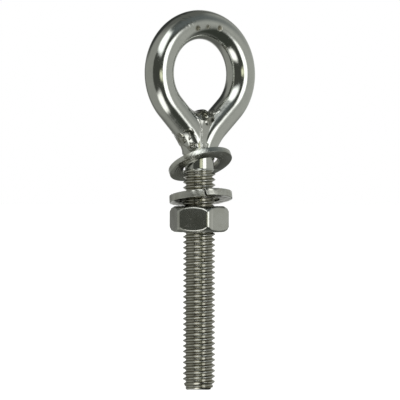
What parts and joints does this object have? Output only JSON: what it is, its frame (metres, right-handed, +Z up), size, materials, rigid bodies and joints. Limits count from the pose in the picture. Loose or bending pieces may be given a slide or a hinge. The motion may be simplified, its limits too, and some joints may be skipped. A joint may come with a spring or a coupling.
{
  "type": "eye bolt",
  "caption": "Welded eye bolt: a threaded stud with a bent bar ring on its head, and a flat washer, split lock washer and hexagon nut that clamp it in a panel.",
  "frame": {"origin": "centre of the flat end of the threaded stud", "axes": "+Z up the stud to the ring; the ring lies in the XZ plane, so +Y is the axis of the ring's opening"},
  "size_m": [0.0233, 0.0117, 0.0696],
  "materials": {
    "rolled_thread": "rolled stainless thread, semi-bright, a little oily in the roots",
    "polished_bar": "mirror-polished stainless bar with fine scuffs",
    "weld_metal": "tumbled weld metal, pitted and part polished",
    "turned_washer": "stamped stainless with fine rings round its faces",
    "sheared_washer": "rough rolled stainless with a torn edge",
    "nut_steel": "satin stainless flats with bright chamfers"
  },
  "bodies": {
    "bolt": {"threaded_stud": "rolled_thread", "eye_loop": "polished_bar", "neck_weld": "weld_metal"},
    "flat_washer": {"flat_washer": "turned_washer"},
    "lock_washer": {"lock_washer": "sheared_washer"},
    "nut": {"hex_nut": "nut_steel"}
  },
  "joints": [
    {"name": "washer_rock", "type": "hinge", "parent": "bolt", "child": "flat_washer", "pos_m": [0.00022, 0, 0.0414], "axis": [0.9976, 0.0698, 0], "range_deg": [0, 50]},
    {"name": "nut_travel", "type": "slide", "parent": "bolt", "child": "lock_washer", "axis": [0, 0, 1], "range_m": [-0.0275, 0.0005]},
    {"name": "nut_spin", "type": "hinge", "parent": "lock_washer", "child": "nut", "pos_m": [0, 0, 0.0312], "axis": [0, 0, 1], "range_deg": [-9901, 181]}
  ],
  "couplings": [
    {"joint": "nut_spin", "follows": "nut_travel", "rad_per_m": 6283.2}
  ]
}
